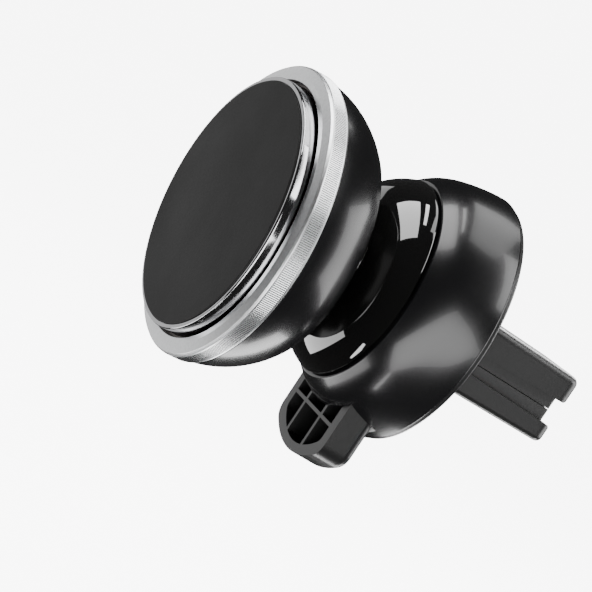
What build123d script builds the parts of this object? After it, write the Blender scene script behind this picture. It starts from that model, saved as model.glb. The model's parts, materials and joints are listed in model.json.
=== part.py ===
"""Magnetic phone mount for a car's air vent, as an assembly of its separate pieces.

+Z is up, the magnetic head faces -Y and the vent clip points to +Y.
The origin is where the clip's slot plane meets the back plate's rear face.
Base pieces are drawn by depth behind the collar's seat, head pieces by distance ahead of the ball.
"""

from build123d import *
import math
import os

os.makedirs("parts", exist_ok=True)

# Overall sizes
head_diameter = 44.4
clip_length = 23.3
clip_width = 14.0
axis_height = 1.9

# Gaps between neighbouring pieces
sliding_gap = 0.1
pivot_gap = 0.05
seat_gap = 0.05
press_gap = 0.02
panel_gap = 0.2

# Ball joint
ball_radius = 6.0
ball_depth = 2.0
liner_thickness = 0.6
neck_radius = 2.6
stud_flange_radius = neck_radius + 1.9
stud_flange_thickness = 0.8
retainer_groove = 0.45
retainer_width = 0.7
journal_radius = 2.45
seat_radius = ball_radius + liner_thickness + 2 * sliding_gap
cup_radius = seat_radius + 0.9
cup_back = ball_depth + 0.94 * seat_radius
washer_thickness = 0.55
ring_thickness = 0.8
ring_front = cup_back + seat_gap + washer_thickness + seat_gap
skirt_back = ring_front + ring_thickness
skirt_bore = cup_radius + seat_gap
skirt_radius = skirt_bore + 1.1
seat_half_angle = math.radians(55)
liner_half_angle = math.radians(60)

# Base, by depth behind the collar's seat
mechanism_room = 11.4
base_radius = skirt_radius + mechanism_room
base_wall = 1.6
chassis_front = skirt_back + panel_gap
chassis_thickness = 1.0
chassis_back = chassis_front + chassis_thickness
plate_front = chassis_back + sliding_gap
plate_thickness = 1.2
base_depth = plate_front + plate_thickness
rim_thickness = 0.8
rim_depth = base_depth - rim_thickness
collar_radius = base_radius - 4.3
collar_reach = 6.6
collar_groove = 0.4
collar_swell_inset = 2.63
collar_swell_reach = 4.55
dome_insets = (3.99, 1.86, 0.8, 0.18)
dome_depths = (3.18, 6.37, 9.6)
dome_front_slope = 0.97
dome_back_slope = 0.07

# Head at rest, turned about the ball, by distance ahead of the ball
rest_tilt = 4.0
rest_pan = 4.4
head_radius = head_diameter / 2
head_back = ball_depth + collar_reach + 4.9
housing_depth = 9.4
bowl_swell_depth = 4.14
bowl_hollow_depth = 4.7
bowl_back_inset = 4.7
bowl_edge_inset = 0.3
bezel_height = 3.3
bezel_lip = 0.9
bezel_back = head_back + housing_depth
bezel_front = bezel_back + bezel_height
cap_radius = head_radius - 3.0
cap_front = bezel_front + 1.9
pad_radius = cap_radius - 0.7
pad_proud = 0.2
pad_thickness = 0.8
pad_floor = cap_front + pad_proud - pad_thickness
cap_wall = 0.8
cap_flange_front = bezel_front - bezel_lip - seat_gap
cap_flange_back = cap_flange_front - 0.9
spigot_radius = head_radius - 1.6
shell_wall = 1.6
hub_radius = 5.0
hub_length = 4.0

# Magnets
magnet_count = 6
magnet_radius = 3.9
magnet_thickness = 2.2
magnet_circle = cap_radius - 6.0
carrier_front = pad_floor - cap_wall - sliding_gap
carrier_back = carrier_front - magnet_thickness - sliding_gap
yoke_thickness = 0.8
yoke_back = carrier_back - yoke_thickness - seat_gap
yoke_radius = cap_radius - 1.4
head_screw_circle = 8.2

# Clip jaws, by height from the slot plane
slot_half_root = 1.4
slot_half_tip = 2.0
upper_outer_root = 6.6
upper_outer_tip = 6.1
lower_outer_root = 5.4
lower_outer_tip = 5.0
jaw_round = 1.2
jaw_tip_round = 2.0
pad_inset = 1.3
pad_stop = 1.5
pad_parting = 0.06
lead_in = 1.0
jaw_tip = base_depth + clip_length
jaw_tip_flare = 0.6
jaw_pad_round = 0.8
jaw_open_angle = math.radians(18)

# Jaw lever, its cross pin and its springs
knuckle_radius = 1.3
pin_radius = 0.8
pin_depth = chassis_front - 0.3
pin_drop = skirt_radius + knuckle_radius + 0.6
tail_drop = pin_drop + 1.5
tail_thickness = 1.6
tail_reach = 4.2
nose_radius = 0.8
tail_half_width = clip_width / 2 + 2.0
lug_inner = clip_width / 2 + 0.3
lug_outer = lug_inner + 1.4
shelf_inner = clip_width / 2 - 0.8
shelf_outer = clip_width / 2 + 2.2
shelf_thickness = 0.8
shelf_top = math.sqrt(max(skirt_radius**2 - shelf_inner**2, 0)) + panel_gap
shelf_bottom = shelf_top + shelf_thickness
spring_radius = 1.1
spring_wire = 0.4
spring_turns = 5.5
spring_side = clip_width / 2 + 0.6
spring_depth = pin_depth - 2.9

# Release button
button_half_width = clip_width / 2 + 3.0
button_thickness = 5.2
button_reach = 27.2
button_sag = 3.0
button_corner = 2.7
button_side_wall = 2.0
button_end_wall = 1.4
button_back_wall = 1.5
button_roof = 2.4
button_ridge = 0.9
button_rear_round = 1.5
button_front = pin_depth - 5.4
button_back = button_front + button_thickness
button_top = tail_drop + tail_thickness + 0.15
rib_cross_drop = 20.2
rib_cross = 0.55
rib_upright = 0.7
rib_side = 3.5
lever_arm_up = tail_drop + tail_thickness - pin_drop
button_travel = tail_reach * math.sin(jaw_open_angle) + lever_arm_up * (1 - math.cos(jaw_open_angle))
ear_inner = clip_width / 2 + 2.3
ear_outer = button_half_width + 1.0
ear_height = 1.15
ear_depth = 2.2

# Screws
screw_radius = 0.95
screw_hole = 1.0
screw_head_radius = 1.7
screw_head_height = 0.7
boss_radius = 2.2
screw_circle = base_radius - 5.8
screw_slack = 0.02
screw_cross_length = 1.8
screw_cross_width = 0.4
head_screw_head = 1.0
head_screw_grip = 4.8
head_boss_hole = 6.0
chassis_screw_grip = 5.6
chassis_boss_hole = 6.2
boss_root = 0.4
low_screw_angle = math.radians(-14)
high_screw_angle = math.radians(56)

# Shared frames
along_base = Axis((0, -base_depth, axis_height), (0, 1, 0))
ball_centre = Vector(0, ball_depth - base_depth, axis_height)
head_place = Location(ball_centre) * Location((0, 0, 0), (0, 0, rest_pan))
head_place = head_place * Location((0, 0, 0), (rest_tilt, 0, 0))
head_across = Plane(head_place).x_dir
head_up = Plane(head_place).z_dir
head_forward = Plane(head_place).y_dir * -1
along_head = Axis(ball_centre, head_forward)
base_section = Plane(origin=(0, -base_depth, axis_height), x_dir=(1, 0, 0), z_dir=(0, 0, 1))
head_section = Plane(origin=ball_centre, x_dir=head_across * -1, z_dir=head_up)
base_side = Plane(origin=(0, -base_depth, axis_height), x_dir=(0, 1, 0), z_dir=(1, 0, 0))
clip_side = Plane(origin=(0, -base_depth, 0), x_dir=(0, 1, 0), z_dir=(1, 0, 0))


def facing_back(depth):
    """Plane across the base at a depth; drawn up is up, extruding goes to the rear."""
    return Plane(origin=(0, depth - base_depth, axis_height), x_dir=(-1, 0, 0), z_dir=(0, 1, 0))


def facing_front(distance):
    """Plane across the head at a distance ahead of the ball; extruding goes to the front."""
    return Plane(origin=ball_centre + head_forward * distance, x_dir=head_across, z_dir=head_forward)


def looking_down(drop):
    """Level plane a given drop below the base's axis; drawn up is to the rear."""
    return Plane(origin=(0, -base_depth, axis_height - drop), x_dir=(1, 0, 0), z_dir=(0, 0, 1))


def turned(corners, section, axis):
    """Solid made by turning a closed outline of (radius, distance) corners about an axis."""
    with BuildPart() as solid:
        with BuildSketch(section):
            with BuildLine():
                Polyline(*corners, close=True)
            make_face()
        revolve(axis=axis)
    return solid


def tube(inner, outer, start, end, section, axis):
    """Plain turned ring between two radii and two distances."""
    corners = [(inner, start), (outer, start), (outer, end), (inner, end)]
    return turned(corners, section, axis)


def mirrored(points):
    """The points and their mirror images across the middle."""
    return [(side * across, up) for across, up in points for side in (-1, 1)]


# ---- Head: soft pad, polished cap, knurled bezel, bowl housing ----

with BuildPart() as front_pad:
    with BuildSketch(facing_front(pad_floor)):
        Circle(pad_radius)
    extrude(amount=pad_thickness)
    fillet(front_pad.edges().filter_by(GeomType.CIRCLE).sort_by_distance(ball_centre)[-1], 0.15)
front_pad.part.label = "front_pad"
export_step(front_pad.part, "parts/front_pad.step")

magnet_cap = turned(
    [
        (0, pad_floor),
        (pad_radius + seat_gap, pad_floor),
        (pad_radius + seat_gap, cap_front),
        (cap_radius - 0.3, cap_front),
        (cap_radius, cap_front - 0.3),
        (cap_radius, cap_flange_front),
        (spigot_radius - seat_gap, cap_flange_front),
        (spigot_radius - seat_gap, cap_flange_back),
        (cap_radius - 1.1, cap_flange_back),
        (cap_radius - 1.1, pad_floor - cap_wall),
        (0, pad_floor - cap_wall),
    ],
    head_section,
    along_head,
)
magnet_cap.part.label = "magnet_cap"
export_step(magnet_cap.part, "parts/magnet_cap.step")

bezel_ring = turned(
    [
        (cap_radius + 0.5, bezel_front),
        (head_radius - 1.6, bezel_front),
        (head_radius - 0.3, bezel_front - 0.4),
        (head_radius, bezel_front - 0.7),
        (head_radius, bezel_back + 0.3),
        (head_radius - 0.3, bezel_back),
        (spigot_radius + sliding_gap, bezel_back),
        (spigot_radius + sliding_gap, bezel_front - bezel_lip),
        (cap_radius + 0.5, bezel_front - bezel_lip),
    ],
    head_section,
    along_head,
)
bezel_ring.part.label = "bezel_ring"
export_step(bezel_ring.part, "parts/bezel_ring.step")

head_screw_spots = PolarLocations(head_screw_circle, 3, start_angle=30)
housing_floor = head_back + shell_wall
with BuildPart() as head_housing:
    with BuildSketch(head_section):
        with BuildLine():
            Line((journal_radius + pivot_gap, head_back), (head_radius - bowl_back_inset, head_back))
            ThreePointArc(
                (head_radius - bowl_back_inset, head_back),
                (head_radius - 1.75, head_back + bowl_swell_depth),
                (head_radius - bowl_edge_inset, bezel_back),
            )
            Line((head_radius - bowl_edge_inset, bezel_back), (spigot_radius, bezel_back))
            Line((spigot_radius, bezel_back), (spigot_radius, cap_flange_back - seat_gap))
            Line(
                (spigot_radius, cap_flange_back - seat_gap),
                (spigot_radius - 1.0, cap_flange_back - seat_gap),
            )
            Line((spigot_radius - 1.0, cap_flange_back - seat_gap), (spigot_radius - 1.0, bezel_back))
            ThreePointArc(
                (spigot_radius - 1.0, bezel_back),
                (head_radius - 3.4, head_back + bowl_hollow_depth),
                (head_radius - 6.0, housing_floor),
            )
            Line((head_radius - 6.0, housing_floor), (hub_radius, housing_floor))
            Line((hub_radius, housing_floor), (hub_radius, head_back + hub_length))
            Line(
                (hub_radius, head_back + hub_length),
                (journal_radius + pivot_gap, head_back + hub_length),
            )
            Line(
                (journal_radius + pivot_gap, head_back + hub_length),
                (journal_radius + pivot_gap, head_back),
            )
        make_face()
    revolve(axis=along_head)
    with BuildSketch(facing_front(housing_floor - boss_root)):
        with head_screw_spots:
            Circle(boss_radius)
    extrude(amount=yoke_back - seat_gap - housing_floor + boss_root)
    with BuildSketch(facing_front(yoke_back)):
        with head_screw_spots:
            Circle(screw_hole)
    extrude(amount=-head_boss_hole, mode=Mode.SUBTRACT)
head_housing.part.label = "head_housing"
export_step(head_housing.part, "parts/head_housing.step")

# ---- Head inside: magnets in their carrier on a steel yoke ----

magnet_spots = PolarLocations(magnet_circle, magnet_count)
with BuildPart() as magnet_carrier:
    with BuildSketch(facing_front(carrier_back)):
        Circle(cap_radius - 1.3)
        with magnet_spots:
            Circle(magnet_radius + sliding_gap, mode=Mode.SUBTRACT)
        with head_screw_spots:
            Circle(screw_head_radius + 0.3, mode=Mode.SUBTRACT)
        Circle(hub_radius, mode=Mode.SUBTRACT)
    extrude(amount=carrier_front - carrier_back)
magnet_carrier.part.label = "magnet_carrier"
export_step(magnet_carrier.part, "parts/magnet_carrier.step")

with BuildPart() as magnets:
    with BuildSketch(facing_front(carrier_back + seat_gap)):
        with magnet_spots:
            Circle(magnet_radius)
    extrude(amount=magnet_thickness)
magnets.part.label = "magnets"
export_step(magnets.part, "parts/magnets.step")

with BuildPart() as yoke_plate:
    with BuildSketch(facing_front(yoke_back)):
        Circle(yoke_radius)
        with head_screw_spots:
            Circle(screw_hole + sliding_gap, mode=Mode.SUBTRACT)
        Circle(hub_radius, mode=Mode.SUBTRACT)
    extrude(amount=yoke_thickness)
yoke_plate.part.label = "yoke_plate"
export_step(yoke_plate.part, "parts/yoke_plate.step")

screw_seat = yoke_back + yoke_thickness + screw_slack
with BuildPart() as head_screws:
    with BuildSketch(facing_front(screw_seat)):
        with head_screw_spots:
            Circle(screw_head_radius)
    extrude(amount=head_screw_head)
    with BuildSketch(facing_front(screw_seat)):
        with head_screw_spots:
            Circle(screw_radius)
    extrude(amount=-(yoke_thickness + head_screw_grip))
    with BuildSketch(facing_front(screw_seat + head_screw_head)):
        with head_screw_spots:
            Rectangle(screw_cross_length, screw_cross_width)
            Rectangle(screw_cross_width, screw_cross_length)
    extrude(amount=-head_screw_head / 2, mode=Mode.SUBTRACT)
head_screws.part.label = "head_screws"
export_step(head_screws.part, "parts/head_screws.step")

# ---- Ball joint: ball stud, washer, retaining clip and liner ----

flange_back = head_back - 1.2
flange_front = flange_back + stud_flange_thickness
journal_end = head_back + hub_length + 1.5
clip_back = head_back + hub_length + 0.1
clip_front = clip_back + retainer_width
with BuildPart() as ball_stud:
    with BuildSketch(head_section):
        with BuildLine():
            neck_start = math.sqrt(ball_radius**2 - neck_radius**2)
            ThreePointArc((0, -ball_radius), (ball_radius, 0), (neck_radius, neck_start))
            Polyline(
                (neck_radius, neck_start),
                (neck_radius, flange_back),
                (stud_flange_radius, flange_back),
                (stud_flange_radius, flange_front),
                (journal_radius, flange_front),
                (journal_radius, clip_back),
                (journal_radius - retainer_groove, clip_back),
                (journal_radius - retainer_groove, clip_front),
                (journal_radius, clip_front),
                (journal_radius, journal_end),
                (0, journal_end),
                (0, -ball_radius),
            )
        make_face()
    revolve(axis=along_head)
ball_stud.part.label = "ball_stud"
export_step(ball_stud.part, "parts/ball_stud.step")

spin_washer = tube(
    journal_radius + sliding_gap,
    neck_radius + 2.2,
    flange_front + seat_gap,
    head_back - sliding_gap,
    head_section,
    along_head,
)
spin_washer.part.label = "spin_washer"
export_step(spin_washer.part, "parts/spin_washer.step")

with BuildPart() as stud_retainer:
    with BuildSketch(facing_front(clip_back + seat_gap)):
        Circle(journal_radius + 1.6)
        Circle(journal_radius - retainer_groove + press_gap, mode=Mode.SUBTRACT)
        with Locations((0, -journal_radius)):
            Rectangle(journal_radius * 1.4, 2 * journal_radius, mode=Mode.SUBTRACT)
    extrude(amount=clip_front - clip_back - 2 * seat_gap)
stud_retainer.part.label = "stud_retainer"
export_step(stud_retainer.part, "parts/stud_retainer.step")


def on_arc(radius, angle):
    """Point on a circle about the ball, by its angle from straight ahead."""
    return (radius * math.sin(angle), -radius * math.cos(angle))


liner_inner = ball_radius + sliding_gap
liner_outer = liner_inner + liner_thickness
liner_end_angle = math.radians(150)
liner_mid_angle = (liner_half_angle + liner_end_angle) / 2
ball_section = Plane(origin=ball_centre, x_dir=(1, 0, 0), z_dir=(0, 0, 1))
with BuildPart() as ball_liner:
    with BuildSketch(ball_section):
        with BuildLine():
            ThreePointArc(
                on_arc(liner_outer, liner_half_angle),
                on_arc(liner_outer, liner_mid_angle),
                on_arc(liner_outer, liner_end_angle),
            )
            Line(on_arc(liner_outer, liner_end_angle), on_arc(liner_inner, liner_end_angle))
            ThreePointArc(
                on_arc(liner_inner, liner_end_angle),
                on_arc(liner_inner, liner_mid_angle),
                on_arc(liner_inner, liner_half_angle),
            )
            Line(on_arc(liner_inner, liner_half_angle), on_arc(liner_outer, liner_half_angle))
        make_face()
    revolve(axis=along_base)
ball_liner.part.label = "ball_liner"
export_step(ball_liner.part, "parts/ball_liner.step")

# ---- Ball socket in the base: collar, cup, spring washer and threaded ring ----


def seat_point(angle):
    """Point on the ball seat, by its angle from straight ahead, in base depth."""
    radius, ahead = on_arc(seat_radius, angle)
    return (radius, ball_depth + ahead)


collar_front_radius = skirt_radius + 1.4
with BuildPart() as collar_ring:
    with BuildSketch(base_section):
        with BuildLine():
            Polyline(
                seat_point(seat_half_angle),
                (collar_front_radius - 1.1, -collar_reach),
                (collar_front_radius, -collar_reach),
            )
            ThreePointArc(
                (collar_front_radius, -collar_reach),
                (collar_radius - collar_swell_inset, -collar_swell_reach),
                (collar_radius, -collar_groove / 2 - 0.3),
            )
            Polyline(
                (collar_radius, -collar_groove / 2 - 0.3),
                (collar_radius, -collar_groove / 2),
                (collar_radius - 1.4, -collar_groove / 2),
                (collar_radius - 1.4, collar_groove / 2 - seat_gap),
                (skirt_radius, collar_groove / 2 - seat_gap),
                (skirt_radius, skirt_back),
                (skirt_bore, skirt_back),
                (skirt_bore, ball_depth),
                (seat_radius, ball_depth),
            )
            ThreePointArc(
                (seat_radius, ball_depth),
                seat_point((seat_half_angle + math.pi / 2) / 2),
                seat_point(seat_half_angle),
            )
        make_face()
    revolve(axis=along_base)
collar_ring.part.label = "collar_ring"
export_step(collar_ring.part, "parts/collar_ring.step")

cup_hole = math.sqrt(seat_radius**2 - (cup_back - ball_depth) ** 2)
with BuildPart() as socket_cup:
    with BuildSketch(base_section):
        with BuildLine():
            ThreePointArc(
                (seat_radius, ball_depth),
                seat_point((math.pi / 2 + math.pi - math.asin(cup_hole / seat_radius)) / 2),
                (cup_hole, cup_back),
            )
            Polyline(
                (cup_hole, cup_back),
                (cup_radius, cup_back),
                (cup_radius, ball_depth + seat_gap),
                (seat_radius, ball_depth + seat_gap),
                (seat_radius, ball_depth),
            )
        make_face()
    revolve(axis=along_base)
socket_cup.part.label = "socket_cup"
export_step(socket_cup.part, "parts/socket_cup.step")

washer_back = cup_back + seat_gap + washer_thickness
seat_spring = turned(
    [
        (cup_radius - 3.2, cup_back + seat_gap),
        (cup_radius - 2.9, cup_back + seat_gap),
        (cup_radius - 0.1, washer_back - 0.3),
        (cup_radius - 0.1, washer_back),
        (cup_radius - 0.4, washer_back),
        (cup_radius - 3.2, cup_back + seat_gap + 0.3),
    ],
    base_section,
    along_base,
)
seat_spring.part.label = "seat_spring"
export_step(seat_spring.part, "parts/seat_spring.step")

with BuildPart() as socket_ring:
    with BuildSketch(facing_back(ring_front)):
        Circle(skirt_bore - seat_gap)
        Circle(cup_radius - 3.2, mode=Mode.SUBTRACT)
        with PolarLocations(cup_radius - 1.6, 4):
            Circle(0.7, mode=Mode.SUBTRACT)
    extrude(amount=ring_thickness)
socket_ring.part.label = "socket_ring"
export_step(socket_ring.part, "parts/socket_ring.step")

# ---- Base body: domed shell with the button's slot and four screw bosses ----

wall_front = collar_groove / 2
dome_places = (wall_front, *dome_depths)
outer_dome = [(base_radius - inset, depth) for inset, depth in zip(dome_insets, dome_places)]
outer_dome += [(base_radius, rim_depth)]
cavity_front = wall_front + 1.8
inner_dome = [(outer_dome[0][0] - 0.7, cavity_front)]
inner_dome += [(across - base_wall, along + 0.25) for across, along in outer_dome[1:-1]]
inner_dome += [(base_radius - base_wall, rim_depth)]
slot_gap = 0.2
slot_ceiling = button_top - button_travel - slot_gap
screw_angles = (low_screw_angle, high_screw_angle)
screw_points = mirrored([(screw_circle * math.cos(a), screw_circle * math.sin(a)) for a in screw_angles])
ear_back = button_back - button_rear_round - 0.1
ear_front = ear_back - ear_depth

with BuildPart() as base_body:
    with BuildSketch(base_section):
        with BuildLine():
            Line((skirt_radius + seat_gap, wall_front), outer_dome[0])
            Spline(
                *outer_dome,
                tangents=[(dome_front_slope, 1), (dome_back_slope, 1)],
            )
            Line(outer_dome[-1], inner_dome[-1])
            Spline(
                *inner_dome[::-1],
                tangents=[(-dome_back_slope, -1), (-dome_front_slope, -1)],
            )
            Polyline(
                inner_dome[0],
                (skirt_radius + seat_gap, cavity_front),
                (skirt_radius + seat_gap, wall_front),
            )
        make_face()
    revolve(axis=along_base)
    with BuildSketch(facing_back(cavity_front - boss_root)):
        with Locations(*screw_points):
            Circle(boss_radius)
    extrude(amount=chassis_front - seat_gap - cavity_front + boss_root)
    with BuildSketch(facing_back(chassis_front)):
        with Locations(*screw_points):
            Circle(screw_hole)
    extrude(amount=-chassis_boss_hole, mode=Mode.SUBTRACT)
    with BuildSketch(looking_down(slot_ceiling)):
        with Locations((0, (button_front + button_back) / 2)):
            Rectangle(2 * (button_half_width + slot_gap), button_thickness + 2 * slot_gap)
    extrude(amount=slot_ceiling - base_radius - 2, mode=Mode.SUBTRACT)
    with BuildSketch(looking_down(slot_ceiling - ear_height)):
        with Locations((0, (ear_front + ear_back) / 2)):
            Rectangle(2 * (ear_outer + slot_gap), ear_depth + 2 * slot_gap)
    extrude(amount=slot_ceiling - ear_height - button_top - slot_gap, mode=Mode.SUBTRACT)
base_body.part.label = "base_body"
export_step(base_body.part, "parts/base_body.step")

# ---- Clip chassis: plate, fixed upper jaw, pin lugs and spring shelves ----

plate_slot_top = upper_outer_root + panel_gap
plate_slot_bottom = axis_height - pin_drop + 0.6
web_top = -slot_half_root + pad_parting
chassis_slot_bottom = axis_height - tail_drop - tail_thickness - 0.4


def half_gap(depth):
    """Half the gap between the bare jaws at a depth behind the collar's seat."""
    run = (depth - chassis_front) / (jaw_tip - lead_in - chassis_front)
    return slot_half_root + run * (slot_half_tip - slot_half_root)


with BuildPart() as clip_chassis:
    with BuildSketch(clip_side):
        Polygon(
            (chassis_front, slot_half_root),
            (jaw_tip - lead_in, slot_half_tip),
            (jaw_tip, slot_half_tip + jaw_tip_flare),
            (jaw_tip, upper_outer_tip),
            (chassis_front, upper_outer_root),
            align=None,
        )
    extrude(amount=clip_width / 2, both=True)
    fillet(clip_chassis.edges().filter_by(Axis.Z).sort_by(Axis.Y)[-2:], jaw_tip_round)
    long_edges = clip_chassis.edges().filter_by(lambda edge: edge.center().Z > upper_outer_tip - 0.1)
    fillet(long_edges.filter_by(lambda edge: edge.center().Y > 1.0), jaw_round)
    with BuildSketch(facing_back(chassis_front)):
        Circle(base_radius - base_wall - 0.3)
        with Locations(*screw_points):
            Circle(screw_hole + sliding_gap, mode=Mode.SUBTRACT)
        with Locations((0, (web_top + 0.4 + chassis_slot_bottom) / 2 - axis_height)):
            Rectangle(2 * lug_inner, web_top + 0.4 - chassis_slot_bottom, mode=Mode.SUBTRACT)
    extrude(amount=chassis_thickness)
    for side in (-1, 1):
        with BuildSketch(base_side.offset(side * lug_inner)):
            Polygon(
                (pin_depth - knuckle_radius, -shelf_bottom),
                (pin_depth - knuckle_radius, -pin_drop - knuckle_radius),
                (chassis_front + 0.4, -pin_drop - knuckle_radius),
                (chassis_front + 0.4, -shelf_bottom),
                align=None,
            )
        extrude(amount=side * (lug_outer - lug_inner))
        with BuildSketch(base_side.offset(side * shelf_inner)):
            Polygon(
                (spring_depth - spring_radius - 0.5, -shelf_top),
                (spring_depth - spring_radius - 0.5, -shelf_bottom),
                (chassis_front, -shelf_bottom),
                (chassis_front, -shelf_top),
                align=None,
            )
        extrude(amount=side * (shelf_outer - shelf_inner))
    with BuildSketch(base_side):
        with Locations((pin_depth, -pin_drop)):
            Circle(pin_radius + press_gap)
    extrude(amount=lug_outer, both=True, mode=Mode.SUBTRACT)
clip_chassis.part.label = "clip_chassis"
export_step(clip_chassis.part, "parts/clip_chassis.step")

with BuildPart() as pivot_pin:
    with BuildSketch(base_side.offset(-lug_outer)):
        with Locations((pin_depth, -pin_drop)):
            Circle(pin_radius)
    extrude(amount=2 * lug_outer)
    chamfer(pivot_pin.edges().filter_by(GeomType.CIRCLE), 0.15)
pivot_pin.part.label = "pivot_pin"
export_step(pivot_pin.part, "parts/pivot_pin.step")

with BuildPart() as rear_plate:
    with BuildSketch(facing_back(plate_front)):
        Circle(base_radius - base_wall - 0.2)
    extrude(amount=rim_depth - plate_front)
    with BuildSketch(facing_back(rim_depth)):
        Circle(base_radius - 0.3)
    extrude(amount=rim_thickness)
    fillet(rear_plate.edges().sort_by(Axis.Y)[-1], 0.4)
    with BuildSketch(facing_back(base_depth)):
        with Locations((0, (plate_slot_top + plate_slot_bottom) / 2 - axis_height)):
            Rectangle(clip_width + 2 * panel_gap, plate_slot_top - plate_slot_bottom)
        with Locations(*screw_points):
            Circle(screw_hole + sliding_gap)
    extrude(amount=-2 * plate_thickness, mode=Mode.SUBTRACT)
    with BuildSketch(facing_back(base_depth)):
        with Locations(*screw_points):
            Circle(screw_head_radius + 0.15)
    extrude(amount=-screw_head_height, mode=Mode.SUBTRACT)
rear_plate.part.label = "rear_plate"
export_step(rear_plate.part, "parts/rear_plate.step")

head_seat = base_depth - screw_head_height + screw_slack
with BuildPart() as chassis_screws:
    with BuildSketch(facing_back(head_seat)):
        with Locations(*screw_points):
            Circle(screw_head_radius)
    extrude(amount=screw_head_height - screw_slack - seat_gap)
    with BuildSketch(facing_back(head_seat)):
        with Locations(*screw_points):
            Circle(screw_radius)
    extrude(amount=-(head_seat - chassis_front + chassis_screw_grip))
    with BuildSketch(facing_back(base_depth - seat_gap)):
        with Locations(*screw_points):
            Rectangle(screw_cross_length, screw_cross_width)
            Rectangle(screw_cross_width, screw_cross_length)
    extrude(amount=-screw_head_height / 2, mode=Mode.SUBTRACT)
chassis_screws.part.label = "chassis_screws"
export_step(chassis_screws.part, "parts/chassis_screws.step")

# ---- Lower jaw: clip jaw outside, knuckle and tail inside ----

with BuildPart() as lower_jaw:
    with BuildSketch(clip_side):
        Polygon(
            (chassis_front + 0.1, -half_gap(chassis_front + 0.1)),
            (jaw_tip - lead_in, -slot_half_tip),
            (jaw_tip, -slot_half_tip - jaw_tip_flare),
            (jaw_tip, -lower_outer_tip),
            (chassis_back + 0.2, -lower_outer_root),
            (chassis_front + 0.1, -lower_outer_root),
            align=None,
        )
    extrude(amount=clip_width / 2, both=True)
    fillet(lower_jaw.edges().filter_by(Axis.Z).sort_by(Axis.Y)[-2:], jaw_tip_round)
    long_edges = lower_jaw.edges().filter_by(lambda edge: edge.center().Z < -lower_outer_tip + 0.1)
    fillet(long_edges.filter_by(lambda edge: edge.center().Y > 1.0), jaw_round * 0.8)
    with BuildSketch(base_side):
        Polygon(
            (chassis_front + 0.1, -slot_half_root - axis_height - 0.5),
            (chassis_back + 0.2, -slot_half_root - axis_height - 0.5),
            (chassis_back + 0.2, -lower_outer_root - axis_height - 0.2),
            (chassis_back - 0.1, -pin_drop + 1.6),
            (pin_depth + 0.8, -pin_drop),
            (pin_depth + 0.8, -tail_drop - tail_thickness),
            (pin_depth - tail_reach, -tail_drop - tail_thickness),
            (pin_depth - tail_reach, -tail_drop),
            (pin_depth - 0.9, -tail_drop),
            (pin_depth - 0.9, -pin_drop),
            (chassis_front + 0.1, -pin_drop),
            align=None,
        )
        with Locations((pin_depth, -pin_drop)):
            Circle(knuckle_radius)
            Circle(pin_radius + pivot_gap, mode=Mode.SUBTRACT)
        with Locations((pin_depth - tail_reach, -tail_drop - tail_thickness / 2)):
            Circle(nose_radius)
    extrude(amount=clip_width / 2, both=True)
    tail_back = pin_depth - knuckle_radius - 0.5
    with BuildSketch(base_side):
        with Locations((pin_depth - tail_reach, -tail_drop - tail_thickness / 2)):
            Circle(nose_radius)
        with Locations(((pin_depth - tail_reach + tail_back) / 2, -tail_drop - tail_thickness / 2)):
            Rectangle(tail_back - pin_depth + tail_reach, tail_thickness)
    extrude(amount=tail_half_width, both=True)
lower_jaw.part.label = "lower_jaw"
export_step(lower_jaw.part, "parts/lower_jaw.step")

# ---- Rubber pads that line the jaws ----


def jaw_pad(sign):
    """Pad between a jaw and the parting line; sign is +1 for the upper jaw."""
    root = base_depth + panel_gap
    reach = jaw_tip - pad_stop
    with BuildPart() as pad:
        with BuildSketch(clip_side):
            Polygon(
                (root, sign * pad_parting),
                (reach, sign * pad_parting),
                (reach, sign * half_gap(reach)),
                (root, sign * half_gap(root)),
                align=None,
            )
        extrude(amount=clip_width / 2 - pad_inset, both=True)
        fillet(pad.edges().filter_by(Axis.Z).sort_by(Axis.Y)[-2:], jaw_pad_round)
    return pad


upper_jaw_pad = jaw_pad(1)
upper_jaw_pad.part.label = "upper_jaw_pad"
export_step(upper_jaw_pad.part, "parts/upper_jaw_pad.step")

lower_jaw_pad = jaw_pad(-1)
lower_jaw_pad.part.label = "lower_jaw_pad"
export_step(lower_jaw_pad.part, "parts/lower_jaw_pad.step")

# ---- Coil springs between the shelves and the jaw's tail ----

spring_bottom = tail_drop - spring_wire / 2 - 0.05
spring_height = spring_bottom - shelf_bottom - spring_wire / 2 - 0.05
spring_base = looking_down(spring_bottom)
with BuildPart() as jaw_springs:
    for side in (-1, 1):
        start = spring_base.from_local_coords(Vector(side * spring_side, spring_depth, 0))
        with BuildLine():
            coil = Helix(
                pitch=spring_height / spring_turns,
                height=spring_height,
                radius=spring_radius,
                center=start,
            )
        with BuildSketch(Plane(origin=coil @ 0, z_dir=coil % 0)):
            Circle(spring_wire / 2)
        sweep(path=coil, is_frenet=True)
jaw_springs.part.label = "jaw_springs"
export_step(jaw_springs.part, "parts/jaw_springs.step")

# ---- Release button: cored tab with ribs, pushed up to open the clip ----

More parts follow.
